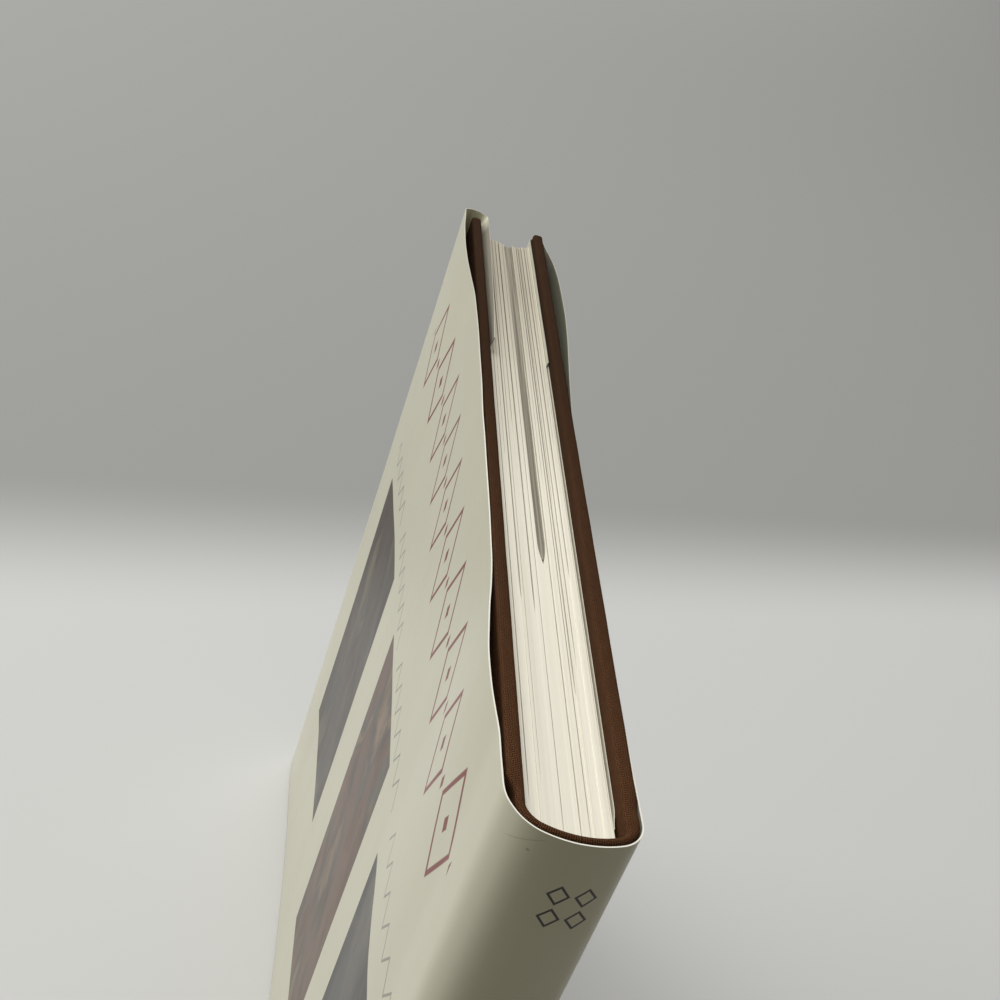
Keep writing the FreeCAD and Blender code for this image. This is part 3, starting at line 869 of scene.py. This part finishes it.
# %% Partings between groups of leaves
partings = [
    (-6.3, 0.20, 5.0), (-5.5, 0.10, 110.0), (-4.65, 0.24, 60.0), (-4.05, 0.12, 9.0), (-3.1, 0.12, 128.0),
    (-2.15, 0.30, 57.0), (-1.0, 0.16, -1.0), (0.68, 2.0, 75.0),
    (1.85, 0.17, -1.5), (2.6, 0.12, 104.0), (3.38, 0.22, -1.0),
    (3.95, 0.26, 35.0), (4.3, 0.10, 96.0), (4.8, 0.18, 44.0), (5.8, 0.24, 70.0), (6.5, 0.10, 120.0),
]
flyleaf_line = 7.2
leaf_deep = 236.0
# the sunken group in the widest parting, whose edges get the dark painted-shade finish
sunken_left, sunken_right, sunken_start, sunken_lift = -0.25, 1.6, 76.5, -0.55


def parting_width(width, end, y):
    """Half the gap: nothing before its end, then a quick opening that stays open."""
    start = (y - end) / (leaf_deep - end)
    return 0.5 * width * np.clip(start * 30, 0, 1) ** 0.6 * (0.85 + 0.15 * np.clip(start, 0, 1))


print(len(partings), "partings")

# %% [markdown]
# ## One group of leaves
# A group is a closed form: its outline goes across the tail, down one side, back along the head and up the other
# side, and is repeated from the back to the fore-edge. The back is part of a circle, and since all leaves are
# equally deep, the fore-edge is hollow by the same arc. No group stands quite level with the next.

# %% Outline and faces of a group
back_middle, back_radius = (0.5411, 7.2796), 10.0015
tops, sides = 5, 8


def group_outline(left, right, y, lift, tilt, jut):
    depth = np.clip(y, 0, leaf_deep) / leaf_deep
    lines = []
    for share in np.linspace(0, 1, tops):
        x = left + (right - left) * share
        back = back_middle[1] - np.sqrt(back_radius ** 2 - (x - back_middle[0]) ** 2)
        crowned = 0.03 - 0.03 * (2 * share - 1) ** 2
        top = leaf_top / MM + lift + tilt * (depth - 0.5) + crowned
        lines.append((x, back + (leaf_deep + jut) * depth, top))
    foot = square / MM - lift * 0.5

    def at(line, level):
        x, along, top = line
        return np.stack([x, along, foot + (top - foot) * level], 1)
    levels = np.linspace(0.03, 0.97, sides)
    return np.array([at(line, 1.0) for line in lines] + [at(lines[-1], level) for level in levels[::-1]]
                    + [at(line, 0.0) for line in lines[::-1]] + [at(lines[0], level) for level in levels])


def group_faces(rows, cols, first):
    """Faces round the outline, and a ladder of faces over its back and its fore-edge."""
    index = np.arange(rows * cols).reshape(rows, cols) + first
    closed = np.concatenate([index, index[:1]])
    quads = np.stack([closed[:-1, :-1], closed[:-1, 1:], closed[1:, 1:], closed[1:, :-1]], -1)
    faces = quads.reshape(-1, 4).tolist()
    for end, turn in ((0, -1), (cols - 1, 1)):
        left = [index[0, end]] + [index[rows - 1 - m, end] for m in range(sides + 1)]
        right = [index[tops - 1 + m, end] for m in range(sides + 2)]
        faces += [[left[m], right[m], right[m + 1], left[m + 1]][::turn] for m in range(sides + 1)]
    return faces


# %% Build the groups of leaves
def leaf_groups():
    random = np.random.default_rng(7)
    edges = [(-flyleaf_line, 0.12, 3.0)] + partings + [(flyleaf_line, 0.12, 1.0)]
    whole = np.concatenate([np.linspace(0, 4, 6), np.linspace(7, 229, 90), np.linspace(231, leaf_deep, 5)])
    groups = []
    for (left, left_wide, left_end), (right, right_wide, right_end) in zip(edges, edges[1:]):
        x0 = left + parting_width(left_wide, left_end, whole)
        x1 = np.maximum(right - parting_width(right_wide, right_end, whole), x0 + 0.05)
        lift, tilt, jut = random.uniform([-0.22, -0.25, -0.25], [0.04, 0.10, 0.15])
        groups.append(group_outline(x0, x1, whole, lift, tilt, jut))
    y = np.linspace(sunken_start, leaf_deep - 0.5, len(whole))
    tilt, jut = random.uniform([-0.25, -0.25], [0.10, 0.15])
    groups.append(group_outline(sunken_left + 0 * y, sunken_right + 0 * y, y, sunken_lift, tilt, jut))
    faces, kinds, count = [], [], 0
    for number, group in enumerate(groups):
        made = group_faces(*group.shape[:2], count)
        faces += made
        kinds += [int(number == len(groups) - 1)] * len(made)
        count += group.shape[0] * group.shape[1]
    flat = np.concatenate([group.reshape(-1, 3) for group in groups]) * MM + np.array([0, shoulder, 0])
    return make_piece("leaves", flat, faces, None, [leaf_edge_finish, sunken_leaf_shade_finish], kinds, sharp=30.0)


leaves = leaf_groups()
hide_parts("text_block")
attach(leaves, "book_block")

# %% [markdown]
# ## Finishes for the pieces that keep their imported shape
# The flyleaves, boards, spine card, gauze and lining have the right shape already, and most of them are hidden.
# They only get their finish: their slots are changed, and their mesh and place stay as imported.

# %% Give the imported pieces their finish
finishes = {"front_flyleaf": endpaper_finish, "rear_flyleaf": endpaper_finish, "front_board": board_finish,
            "rear_board": board_finish, "spine_card": board_finish, "spine_mull": mull_finish,
            "spine_lining": kraft_finish}
for name, finish in finishes.items():
    for slot in frame["nodes"][name].material_slots:
        slot.material = finish
print("finished:", ", ".join(finishes))

# %% [markdown]
# ## Studio
# A pale floor runs back into a grey sweep, softly. Its colour is worked out from the place on the floor. The
# camera and mirror-like rays see it pale; the light that it throws back on the book is held down a little, so
# the shaded side of the spine stays as deep as it would in a larger room.

# %% Floor
recipe = Recipe("studio_floor")
x, y, z = recipe.object_place()
away = y * 0.9474 - x * 0.32
grey = away.step(200.0, 300.0)
grey = grey * grey * (3 - grey * 2)
farther = away.step(900.0, 2600.0)
far_tone = recipe.blend(farther * farther, (0.315, 0.319, 0.309), (0.56, 0.565, 0.55))
seen_tone = recipe.blend(grey, (0.585, 0.59, 0.58), far_tone)
seen = recipe.node("ShaderNodeBsdfDiffuse", {}, {"Color": seen_tone})
bounce = recipe.node("ShaderNodeBsdfDiffuse", {}, {"Color": (0.29, 0.265, 0.19)})
mixed = recipe.node("ShaderNodeMixShader", {}, {0: recipe.seen_directly(), 1: bounce, 2: seen})
recipe.node("ShaderNodeOutputMaterial", {}, {0: mixed})

floor_mesh = bpy.data.meshes.new("floor")
reach = 4.2
floor_mesh.from_pydata([(-reach, -reach, 0), (reach, -reach, 0), (reach, reach, 0), (-reach, reach, 0)], [],
                       [(0, 1, 2, 3)])
floor_mesh.materials.append(recipe.block)
floor = bpy.data.objects.new("floor", floor_mesh)
bpy.context.scene.collection.objects.link(floor)
print("floor reaches %.1f m each way" % reach)

# %% [markdown]
# ## Camera and lights
# The camera's place was fitted to the straight edges of the book: it looks down on the tail edge from beyond
# the spine. A large soft light hangs above and behind, so the tail edge is bright and the spine falls into
# shade. A weaker one stands at the left, to bring out the round between panel and spine.

# %% Camera
centre = Vector((-64.55, -274.2, 365.1)) * MM
look = Vector((0.19396, 0.84253, -0.50251)).normalized()
right = Vector((0.95278, -0.03979, 0.30103))
right = (right - look * right.dot(look)).normalized()
upward = right.cross(look)
camera_data = bpy.data.cameras.new("camera")
camera_data.sensor_width = 36.0
camera_data.lens = 51.3
camera_data.clip_start = 0.01
camera = bpy.data.objects.new("camera", camera_data)
turned = Matrix((right, upward, -look)).transposed().to_4x4()
camera.matrix_world = Matrix.Translation(centre) @ turned
bpy.context.scene.collection.objects.link(camera)
bpy.context.scene.camera = camera
print("camera looks down %.1f degrees" % math.degrees(math.asin(-look.z)))


# %% Lights
def soft_light(name, place, aim, size, power, colour):
    data = bpy.data.lights.new(name, "AREA")
    data.shape, data.size, data.size_y = "RECTANGLE", size[0], size[1]
    data.energy, data.color = power, colour
    lamp = bpy.data.objects.new(name, data)
    lamp.location = place
    lamp.rotation_euler = (Vector(aim) - Vector(place)).to_track_quat("-Z", "Y").to_euler()
    bpy.context.scene.collection.objects.link(lamp)
    return lamp


soft_light("overhead", (-0.8, 1.5, 3.2), (0, 0, 0.1), (3.6, 2.7), 128.0, (1.0, 0.993, 0.98))
soft_light("left_side", (-2.0, 0.8, 0.8), (0, 0, 0.12), (1.5, 1.2), 27.0, (0.99, 1.0, 0.99))
world = bpy.data.worlds.new("studio_air")
recipe = Recipe("studio_air", world)
fill = recipe.node("ShaderNodeBackground", {}, {0: (0.95, 0.93, 0.86), 1: 0.15})
backdrop = recipe.node("ShaderNodeBackground", {}, {0: (0.34, 0.345, 0.335), 1: 1.0})
air = recipe.node("ShaderNodeMixShader", {}, {0: recipe.seen_directly(), 1: fill, 2: backdrop})
recipe.node("ShaderNodeOutputWorld", {}, {0: air})
bpy.context.scene.world = world
bpy.context.scene.view_settings.view_transform = "Standard"
print("two soft lights and a dim fill")
